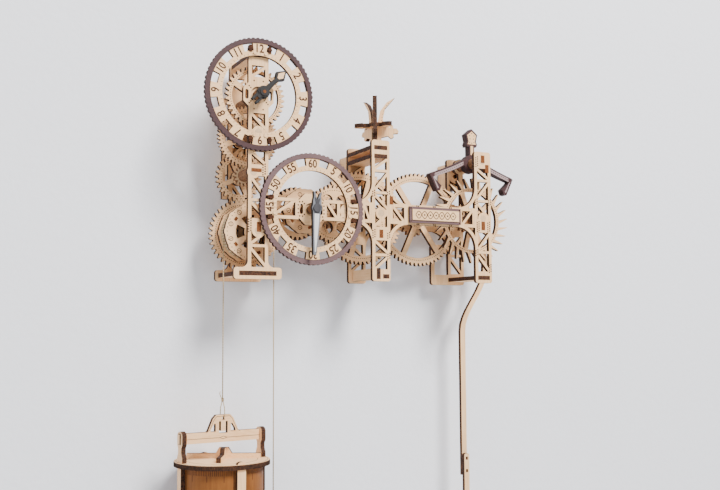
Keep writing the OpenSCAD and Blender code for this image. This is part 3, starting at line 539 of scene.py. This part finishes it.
def ring(bm, x, z, inner, outer, front, back, sides=96):
    """Adds a flat ring whose axis runs into the clock."""
    corners = [(inner, front), (outer, front), (outer, back), (inner, back)]
    verts = [bm.verts.new((x + r, y, z)) for r, y in corners]
    edges = [bm.edges.new((verts[k], verts[(k + 1) % 4])) for k in range(4)]
    bmesh.ops.spin(bm, geom=verts + edges, cent=(x, 0, z), axis=(0, 1, 0), angle=math.tau, steps=sides,
                   use_merge=True)


def make_dial_marks(name, centre, marks):
    """Ticks along a band's inner edge, longer at the numerals, and the dark rim round the band."""
    bm = bmesh.new()
    for k in range(marks):
        angle = k * math.tau / marks
        long = 1.5 * MM if k % (marks // 12) else 2.1 * MM
        reach = band_inner + 0.5 * MM + long / 2
        brick(bm, centre[0] + reach * math.sin(angle), centre[1] + reach * math.cos(angle), 0.26 * MM, long,
              band_front - 0.05 * MM, band_front + 0.05 * MM, angle)
    ring(bm, centre[0], centre[1], band_outer - 0.16 * MM, band_outer + 0.14 * MM, band_front - 0.55 * MM,
         band_front + 0.05 * MM, 120)
    bmesh.ops.remove_doubles(bm, verts=bm.verts, dist=1e-7)
    bmesh.ops.recalc_face_normals(bm, faces=bm.faces)
    return new_piece(name, bm, "frame", engraving)


make_dial_marks("hour_dial_marks", (hour_x, hour_z), 60)
make_dial_marks("minute_dial_marks", (minute_x, minute_z), 60)

# Clips: small brown blocks with a wider middle, two at each end of the tower or beam behind a dial.
bm = bmesh.new()
for side in (-1, 1):
    for end in (-1, 1):
        across, along_it = side * 8.7 * MM, end * 39.6 * MM
        for wide, long, raised in ((2.6, 5.6, 1.2), (3.6, 2.0, 1.6)):
            front = band_front - raised * MM
            brick(bm, hour_x + across, hour_z + along_it, wide * MM, long * MM, front, plate_front)
            brick(bm, minute_x + along_it, minute_z + across, long * MM, wide * MM, front, plate_front)
new_piece("dial_clips", bm, "frame", clip_brown)

# ---- Name board: a plain birch board in a plum border, engraved with a braid instead of lettering and
# fixed with two small pegs at each end.
name_plate_low, name_plate_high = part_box("name_plate")
name_front, name_x = name_plate_low[1], centre_of("name_plate").x
braid_width = 0.86 * (name_plate_high[0] - name_plate_low[0])
braid_steps, braid_waves, braid_height = 108, 7, 3.3 * MM
sink = 0.05 * MM
bm = bmesh.new()
for phase in (0, math.pi):
    for k in range(braid_steps):
        ends = []
        for step in (k, k + 1):
            share = step / braid_steps
            wave = math.sin(share * braid_waves * math.pi + phase)
            ends.append(Vector((name_x + (share - 0.5) * braid_width, 0, beam_z + braid_height * wave)))
        middle, run = (ends[0] + ends[1]) / 2, ends[1] - ends[0]
        brick(bm, middle.x, middle.z, run.length * 1.15, 0.7 * MM, name_front - sink, name_front + sink,
              -math.atan2(run.z, run.x))
for k in range(braid_waves):
    knot_x = name_x + ((k + 0.5) / braid_waves - 0.5) * braid_width
    disc(bm, knot_x, beam_z, 0.9 * MM, name_front - 1.2 * sink, name_front + sink, 8)
new_piece("name_braid", bm, "frame", engraving)
bm = bmesh.new()
border_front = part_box("name_border")[0][1]
for end in (name_low[0] + 1.3 * MM, name_high[0] - 1.3 * MM):
    for edge in (-6.1 * MM, 6.1 * MM):
        disc(bm, end, beam_z + edge, 0.75 * MM, border_front - 0.25 * MM, border_front + 0.2 * MM, 12)
new_piece("name_pegs", bm, "frame", engraving)


# ---- Finial: a spear and two sabres, slotted into a star plate, on top of the centre tower. Each vane
# stands in its own direction from the axis, so its faces are found with that direction.
finial_axis = Vector((centre_x, plate_front + 11.5 * MM, 0))
spear_way, sabre_ways = -116, (-26, 92)


def flat_in_vanes(tree, spot):
    """A mask of the vanes' faces: near a vane's middle plane, and turned square to it."""
    normal = sheet_normal(tree)
    from_axis = tree.add("ShaderNodeVectorMath", {"operation": "SUBTRACT"}, {0: spot, 1: finial_axis})

    def towards(vector, degrees):
        way = (math.cos(math.radians(degrees)), math.sin(math.radians(degrees)), 0)
        dot_product = {"operation": "DOT_PRODUCT"}
        return tree.add("ShaderNodeVectorMath", dot_product, {0: vector, 1: way}, out="Value")

    mask = None
    for vane in (spear_way, *sabre_ways):
        in_plane = abs(towards(from_axis, vane + 90)) < 2.05 * MM
        inside = in_plane * (towards(from_axis, vane) > 0.5 * MM)
        hit = inside * (abs(towards(normal, vane + 90)) > 0.95)
        mask = hit if mask is None else tree.maths("MAXIMUM", mask, hit)
    return mask


dress(make_plywood("vane_birch", birch_face, birch_vein, flat_in_vanes, upright_grain), "finial_vanes")
dress(birch_board, "finial_star")
bm = bmesh.new()
vane_foot = Vector((0, 0, main_high[2] - 5 * MM))
sabre_line = ((6.0, 22), (6.2, 25), (6.7, 28), (7.3, 31), (8.3, 34), (9.6, 36.6), (11.2, 39), (13, 41.2))
for vane in sabre_ways:
    turned = Matrix.Translation(finial_axis + vane_foot) @ Matrix.Rotation(math.radians(vane), 4, "Z")
    for reach, up in sabre_line:
        for side in (-1, 1):
            place = turned @ Matrix.Translation((reach * MM, side * 2 * MM, up * MM)) @ upright
            bmesh.ops.create_cone(bm, cap_ends=True, segments=8, radius1=0.4 * MM, radius2=0.4 * MM,
                                  depth=2 * dot_depth, matrix=place)
new_piece("finial_dots", bm, "frame", engraving)


# ---- Wheels: birch discs with cut teeth and spokes, each glued to a dowel between collars, with an
# engraved ring of dots near its rim. The front one of the two wavy flanges and the minute disc carry
# engraved screw heads.
dress(birch_level, "great_wheel", "drum_front_flange", "drum_rear_flange", "transfer_wheel",
      "reduction_wheel", "hour_wheel", "minute_wheel", "minute_disc", "third_wheel", "fourth_wheel",
      "fifth_wheel", "escape_wheel")


def make_dowel(name):
    """A turned dowel: end grain on its ends, long fibres round it, a pinion's cut teeth darker."""
    return make_plywood(name, (0.640, 0.430, 0.250), (0.480, 0.290, 0.150), flat_in(1), (900, 60, 900), 0.55,
                        (0.110, 0.045, 0.018), (0.330, 0.160, 0.070))


dowel = make_dowel("dowel_wood")
dress(dowel, "drum_barrel", "drum_arbor", "transfer_arbor", "reduction_arbor", "hour_arbor",
      "minute_arbor", "third_axle", "third_pinion", "fourth_arbor", "fifth_arbor", "escape_arbor",
      "anchor_arbor")


def spot_at(centre, radius, angle):
    return centre.x + radius * math.cos(angle), centre.z + radius * math.sin(angle)


def make_dot_ring(name, node, body, rings):
    """Rings of engraved dots on a wheel's front: (radius, dots) in millimetres."""
    centre, front = centre_of(node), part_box(node)[0][1]
    bm = bmesh.new()
    for radius, dots in rings:
        for k in range(dots):
            x, z = spot_at(centre, radius * MM, k * math.tau / dots)
            disc(bm, x, z, 0.48 * MM, front - dot_depth, front + dot_depth, sides=6)
    return new_piece(name, bm, body, engraving)


make_dot_ring("great_wheel_dots", "great_wheel", "drum", ((26.2, 84),))
make_dot_ring("transfer_wheel_dots", "transfer_wheel", "transfer", ((16.9, 42),))
make_dot_ring("reduction_wheel_dots", "reduction_wheel", "reduction", ((23.6, 48),))
make_dot_ring("hour_wheel_dots", "hour_wheel", "hour", ((23.0, 72), (7.4, 24)))
make_dot_ring("third_wheel_dots", "third_wheel", "third", ((22.3, 60), (7.2, 18)))
make_dot_ring("fourth_wheel_dots", "fourth_wheel", "fourth", ((38.8, 120), (7.4, 24)))
make_dot_ring("fifth_wheel_dots", "fifth_wheel", "fifth", ((39.6, 120), (7.4, 24)))
make_dot_ring("escape_wheel_dots", "escape_wheel", "escape", ((30.2, 90),))


def make_screw_heads(name, node, body, radius, count, start):
    """Engraved screw heads: a ring with a slot across it."""
    centre, front = centre_of(node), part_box(node)[0][1]
    bm = bmesh.new()
    for k in range(count):
        x, z = spot_at(centre, radius * MM, start + k * math.tau / count)
        ring(bm, x, z, 1.6 * MM, 2.1 * MM, front - 0.06 * MM, front + 0.04 * MM, 20)
        brick(bm, x, z, 3.0 * MM, 0.45 * MM, front - 0.06 * MM, front + 0.04 * MM, 0.7 + k)
    bmesh.ops.remove_doubles(bm, verts=bm.verts, dist=1e-7)
    bmesh.ops.recalc_face_normals(bm, faces=bm.faces)
    return new_piece(name, bm, body, engraving)


def make_flange_tenons(name, node, body, radius):
    """Dark tenon ends in a flange's ring of square holes."""
    centre, low, high = centre_of(node), *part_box(node)
    bm = bmesh.new()
    for k in range(5):
        angle = k * math.tau / 5
        x, z = spot_at(centre, radius * MM, angle)
        brick(bm, x, z, 2.5 * MM, 3.5 * MM, low[1] - proud, high[1], -angle)
    return new_piece(name, bm, body, end_grain)


make_screw_heads("front_flange_screws", "drum_front_flange", "drum", 20.6, 10, math.radians(18))
make_screw_heads("minute_disc_screws", "minute_disc", "minute", 15.6, 5, math.radians(36))
make_flange_tenons("front_flange_tenons", "drum_front_flange", "drum", 25.2 * 0.74)
make_flange_tenons("minute_disc_tenons", "minute_disc", "minute", 20.5 * 0.74)
make_dot_ring("front_flange_dots", "drum_front_flange", "drum", ((23.0, 40),))

# ---- Hands: the hour hand is stained black with a bare diamond near its tip, the minute hand is stained
# grey with a pale strip let into it. Each has a forked tail and is pushed on to its arbor.
def make_stained(name, face, vein, edge_dark, edge_light, roughness=0.45):
    """Plywood with stained faces, its grain upright."""
    return make_plywood(name, face, vein, flat_in(1), upright_grain, roughness, edge_dark, edge_light)


black = make_stained("black_ply", (0.012, 0.010, 0.010), (0.006, 0.005, 0.005),
                     (0.006, 0.005, 0.005), (0.020, 0.015, 0.012))
steel_grey = make_stained("grey_ply", (0.155, 0.160, 0.180), (0.100, 0.104, 0.118),
                          (0.012, 0.010, 0.010), (0.050, 0.045, 0.045))
silver = make_stained("silver_strip", (0.640, 0.630, 0.630), (0.500, 0.490, 0.490),
                      (0.030, 0.030, 0.032), (0.090, 0.090, 0.095), 0.4)
dark_grey = make_stained("dark_grey_ply", (0.050, 0.048, 0.054), (0.024, 0.022, 0.026),
                         (0.006, 0.005, 0.005), (0.020, 0.015, 0.012))
dress(black, "hour_hand")
dress(steel_grey, "minute_hand")


def turned_outline(points, x, z, degrees):
    """Millimetre points turned clockwise and set round a pivot."""
    c, s = math.cos(math.radians(degrees)), math.sin(math.radians(degrees))
    return [(x + (a * c + b * s) * MM, z + (-a * s + b * c) * MM) for a, b in points]


hour_front, minute_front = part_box("hour_hand")[0][1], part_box("minute_hand")[0][1]
hour_turn, minute_turn = 45, 183
bm = bmesh.new()
diamond = [(0, 27.2), (2.9, 21.9), (0.9, 18.4), (-0.9, 18.4), (-2.9, 21.9)]
plate(bm, turned_outline(diamond, hour_x, hour_z, hour_turn), hour_front - 0.15 * MM, hour_front + 0.2 * MM)
new_piece("hour_hand_diamond", bm, "hour", birch_level)
bm = bmesh.new()
for radius, depth in ((4.7, 0.9), (3.6, 1.6)):
    disc(bm, hour_x, hour_z, radius * MM, hour_front - depth * MM, hour_front + 0.1 * MM, 32)
plate(bm, turned_outline([(-1.2, 3), (1.2, 3), (0.8, 16.5), (-0.8, 16.5)], hour_x, hour_z, hour_turn),
      hour_front - 0.8 * MM, hour_front + 0.2 * MM)
plate(bm, turned_outline([(-2.0, -3), (2.0, -3), (1.4, -7.5), (-1.4, -7.5)], hour_x, hour_z, hour_turn),
      hour_front - 0.8 * MM, hour_front + 0.2 * MM)
new_piece("hour_hand_cap", bm, "hour", black)
bm = bmesh.new()
disc(bm, hour_x, hour_z, 1.5 * MM, hour_front - 1.75 * MM, hour_front - 1.5 * MM, 20)
new_piece("hour_cap_pin", bm, "hour", end_grain)
bm = bmesh.new()
strip = [(-2.3, 5.2), (2.3, 5.2), (2.1, 12), (1.4, 26), (0.4, 38.5), (-0.4, 38.5), (-1.4, 26), (-2.1, 12)]
plate(bm, turned_outline(strip, minute_x, minute_z, minute_turn), minute_front - 0.35 * MM,
      minute_front + 0.2 * MM)
new_piece("minute_hand_strip", bm, "minute", silver)
bm = bmesh.new()
disc(bm, minute_x, minute_z, 3.7 * MM, minute_front - 1.1 * MM, minute_front + 0.1 * MM, 32)
plate(bm, turned_outline([(-2.4, 4.6), (2.4, 4.6), (1.6, -4.5), (2.6, -9), (0, -7), (-2.6, -9), (-1.6, -4.5)],
                         minute_x, minute_z, minute_turn), minute_front - 0.5 * MM, minute_front + 0.2 * MM)
new_piece("minute_hand_cap", bm, "minute", dark_grey)

# ---- Anchor: three layers of plum stained plywood with a paler core let into the arms and a bare birch
# core in the spear head, each with a row of dots. It is glued to the pendulum's arbor.
dress(plum, "anchor")
anchor_x, anchor_z = right_x, centre_of("anchor_arbor").z
anchor_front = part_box("anchor")[0][1]
core_front, core_back = anchor_front - 0.12 * MM, anchor_front + 0.2 * MM
mauve = make_plywood("mauve_core", (0.330, 0.240, 0.235), (0.250, 0.170, 0.168), flat_in(1), level_grain, 0.6,
                     (0.030, 0.012, 0.012), (0.090, 0.040, 0.040))


def arm_edge(share):
    return 3 + 43.8 * share, 8.5 - 20 * share ** 0.75


bm = bmesh.new()
for side in (-1, 1):
    upper = [arm_edge(0.16 + 0.75 * k / 8) for k in range(9)]
    strip = [(x, z - 1.5) for x, z in upper] + [(x, z - 5.0) for x, z in reversed(upper)]
    claw = ((45.2, -14.6), (43.6, -16.2), (38.4, -25.6), (39.8, -26.4))
    for outline in (strip, claw):
        plate(bm, turned_outline([(side * x, z) for x, z in outline], anchor_x, anchor_z, 0), core_front,
              core_back)
new_piece("anchor_core", bm, "pendulum", mauve)
bm = bmesh.new()
head = [(0, 32.6), (5.0, 28.6), (3.6, 22.6), (4.7, 19.6), (-4.7, 19.6), (-3.6, 22.6), (-5.0, 28.6)]
for outline in (head, [(-1.5, 9), (1.5, 9), (1.5, 18), (-1.5, 18)]):
    plate(bm, turned_outline(outline, anchor_x, anchor_z, 0), core_front, core_back)
new_piece("spear_core", bm, "pendulum", birch_upright)
bm = bmesh.new()
for side in (-1, 1):
    for k in range(14):
        x, z = arm_edge(0.18 + 0.7 * k / 13)
        disc(bm, anchor_x + side * x * MM, anchor_z + (z - 3.2) * MM, 0.5 * MM, anchor_front - 0.16 * MM,
             anchor_front, 8)
for x, z in ((0, 30.6), (-2.6, 28.2), (2.6, 28.2), (-1.9, 25), (1.9, 25), (-2.6, 21.6), (2.6, 21.6),
             (0, 20.8)):
    disc(bm, anchor_x + x * MM, anchor_z + z * MM, 0.55 * MM, anchor_front - 0.16 * MM, anchor_front, 8)
new_piece("anchor_dots", bm, "pendulum", engraving)

# ---- Pendulum: a long birch rod with the grain along it, bowed past the escape arbor, a strip pegged
# to its lower end and a bob of two discs glued to the strip.
dress(birch_upright, "pendulum_rod", "pendulum_strip")
dress(birch_level, "pendulum_bob")
dress(clip_brown, "pendulum_pegs")
bob = centre_of("pendulum_bob")
bob_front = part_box("pendulum_bob")[0][1]
bm = bmesh.new()
for radius in (8.4, 20.8):
    ring(bm, bob.x, bob.z, radius * MM, (radius + 0.4) * MM, bob_front - 0.05 * MM, bob_front + 0.05 * MM, 80)
for k in range(36):
    x, z = spot_at(bob, 18.6 * MM, k * math.tau / 36)
    disc(bm, x, z, 0.42 * MM, bob_front - dot_depth, bob_front + dot_depth, 6)
for k in range(12):
    x, z = spot_at(bob, 13.4 * MM, k * math.tau / 12)
    brick(bm, x, z, 0.5 * MM, 5.4 * MM, bob_front - 0.05 * MM, bob_front + 0.05 * MM,
          math.pi / 2 - k * math.tau / 12)
bmesh.ops.remove_doubles(bm, verts=bm.verts, dist=1e-7)
bmesh.ops.recalc_face_normals(bm, faces=bm.faces)
new_piece("bob_engraving", bm, "pendulum", engraving)

# ---- Weight: a drum of thin amber panels bent round a birch lid and base, with four posts, and a bail of
# two cheeks and an arched bar that the cord is knotted to. It hangs turned a little on its cord.
lid = centre_of("weight_lid")
lid_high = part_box("weight_lid")[1]
weight_turn, rib_turn = math.radians(6), math.radians(-32)


def weight_axes(tree, vector, shift, turn=0.0):
    """A point or a normal in the weight's own turned axes, or its ribs'."""
    shifted = tree.add("ShaderNodeVectorMath", {"operation": "SUBTRACT"}, {0: vector, 1: shift})
    turned = tree.add("ShaderNodeMapping", {"vector_type": "POINT"},
                      {"Vector": shifted, "Rotation": (0, 0, -weight_turn - turn)})
    return [along(tree, turned, axis) for axis in range(3)]


def flat_in_bail(tree, spot):
    """The cheeks face sideways, the bar faces forwards, and the low ribs have axes of their own."""
    x, _, z = weight_axes(tree, spot, (lid.x, lid.y, lid_high[2]))
    across, deep, _ = weight_axes(tree, sheet_normal(tree), (0, 0, 0))
    upright = (abs(x) > 34.3 * MM) * (abs(across) > 0.9) + (abs(x) < 34.3 * MM) * (abs(deep) > 0.9)
    rib_x, rib_y, _ = weight_axes(tree, spot, (lid.x, lid.y, 0), rib_turn)
    rib_across, rib_deep, _ = weight_axes(tree, sheet_normal(tree), (0, 0, 0), rib_turn)
    cross_rib = (rib_y < 8.9 * MM) * (abs(rib_x) < 2.3 * MM)
    ribs = cross_rib * (abs(rib_across) > 0.9) + (1 - cross_rib) * (abs(rib_deep) > 0.9)
    low = (z < 9.3 * MM) * (abs(x) < 34.3 * MM)
    return low * ribs + (1 - low) * upright


# Engraved lines along the bar and round its arch, with a small lozenge in the middle.
bar_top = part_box("weight_bail")[1][2] - 14 * MM
bar_front = -2 * MM
bar_line = [(-34, -5.2), (-3.4, -5.2), (0, -6.4), (3.4, -5.2), (34, -5.2)]
lozenge_top = [(-3.4, -5.2), (0, -4.2), (3.4, -5.2)]
arch_line = [(-15.6, -0.6), (-12.6, 1.4), (-8.4, 10.2), (-6, 12.7), (6, 12.7), (8.4, 10.2), (12.6, 1.4),
             (15.6, -0.6)]
bm = bmesh.new()
for line in (bar_line, lozenge_top, arch_line):
    for (ax, az), (bx, bz) in zip(line, line[1:]):
        run = Vector((bx - ax, bz - az))
        brick(bm, (ax + bx) / 2 * MM, (az + bz) / 2 * MM, (run.length + 0.3) * MM, 0.36 * MM,
              bar_front - 0.05 * MM, bar_front + 0.05 * MM, -math.atan2(run.y, run.x))
bm.transform(Matrix.Translation((lid.x, lid.y, bar_top)) @ Matrix.Rotation(weight_turn, 4, "Z"))
new_piece("bail_engraving", bm, "weight", engraving)


def flat_in_posts(tree, spot):
    x, y, _ = weight_axes(tree, spot, (lid.x, lid.y, 0))
    across, deep, _ = weight_axes(tree, sheet_normal(tree), (0, 0, 0))
    sides = abs(x) > abs(y)
    return sides * (abs(across) > 0.75) + (1 - sides) * (abs(deep) > 0.75)


dress(make_plywood("bail_birch", birch_face, birch_vein, flat_in_bail, (75, 1100, 1100)), "weight_bail")
dress(make_plywood("post_birch", birch_face, birch_vein, flat_in_posts, upright_grain), "weight_posts")
dress(birch_board, "weight_lid", "weight_base")


def make_amber():
    """Thin plywood stained amber, its grain upright."""
    material, shader, tree = start_material("amber_ply", 0.58, 0.25)
    spot, _ = place_axes(tree)
    veins = noise(tree, spot, (620, 620, 38), detail=5.0)
    clouds = noise(tree, spot, (40, 40, 22), detail=3.0)
    shade = (veins - 0.4) * 1.8 + (clouds - 0.5) * 1.3
    connect(tree, shade.tint((0.215, 0.074, 0.013), (0.125, 0.036, 0.006)), shader, "Base Color")
    bump(tree, shader, veins, 0.00008, 0.5)
    return material


dress(make_amber(), "weight_panels")
dress(make_scorch("ballast_grit", (0.10, 0.10, 0.10), (0.22, 0.21, 0.20)), "weight_ballast")


def upright_cut(bm, radius, angle, middle, depth, width, height):
    """Adds an upright cut to the weight's round side, at an angle round its axis."""
    place = (Matrix.Translation((lid.x + radius * math.cos(angle), lid.y + radius * math.sin(angle), middle))
             @ Matrix.Rotation(angle, 4, "Z") @ Matrix.Diagonal((depth, width, height, 1)))
    bmesh.ops.create_cube(bm, size=1, matrix=place)


# Kerf lines: rows of short cuts that let each panel bend, every ninth one longer, plus its dark ends.
bm = bmesh.new()
panel_r = 34.8 * MM
panel_low, panel_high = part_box("weight_panels")[0][2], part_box("weight_panels")[1][2]
for quarter in range(4):
    start = quarter * math.tau / 4 + weight_turn
    for k in range(-13, 14):
        angle = start + math.tau / 8 + k * math.radians(2.6)
        length = (5.0 if (k + 9) % 9 else 10.0) * MM
        for end, inward in ((panel_high, -1), (panel_low, 1)):
            upright_cut(bm, panel_r, angle, end + inward * length / 2, 0.12 * MM, 0.5 * MM, length)
    for edge in (-1, 1):
        upright_cut(bm, panel_r, start + edge * math.radians(8.2), (panel_high + panel_low) / 2, 0.16 * MM,
                    0.8 * MM, panel_high - panel_low)
new_piece("panel_kerfs", bm, "weight", engraving)

# Rims: close cuts all round the lid and the base.
bm = bmesh.new()
rim_r, rim_cuts = 40.62 * MM, 180
for node in ("weight_lid", "weight_base"):
    rim_low, rim_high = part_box(node)[0][2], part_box(node)[1][2]
    rim = rim_high - rim_low
    for k in range(rim_cuts):
        upright_cut(bm, rim_r, k * math.tau / rim_cuts, rim_low + rim * 0.4, 0.3 * MM, 0.42 * MM, rim * 0.8)
ring_bm = bmesh.new()
for radius in (38.6, 30.0):
    ring(ring_bm, 0, 0, radius * MM, (radius + 0.35) * MM, -0.05 * MM, 0.05 * MM, 96)
bmesh.ops.remove_doubles(ring_bm, verts=ring_bm.verts, dist=1e-7)
bmesh.ops.recalc_face_normals(ring_bm, faces=ring_bm.faces)
ring_bm.transform(Matrix.Translation((lid.x, lid.y, lid_high[2])) @ Matrix.Rotation(math.pi / 2, 4, "X"))
new_piece("lid_rings", ring_bm, "weight", engraving)
rim_scorch = make_scorch("rim_scorch", (0.018, 0.008, 0.004), (0.060, 0.026, 0.012))
new_piece("rim_cuts", bm, "weight", rim_scorch)

# ---- Bead: a turned birch pull on the free end of the cord.
dress(make_dowel("bead_wood"), "pull_bead")
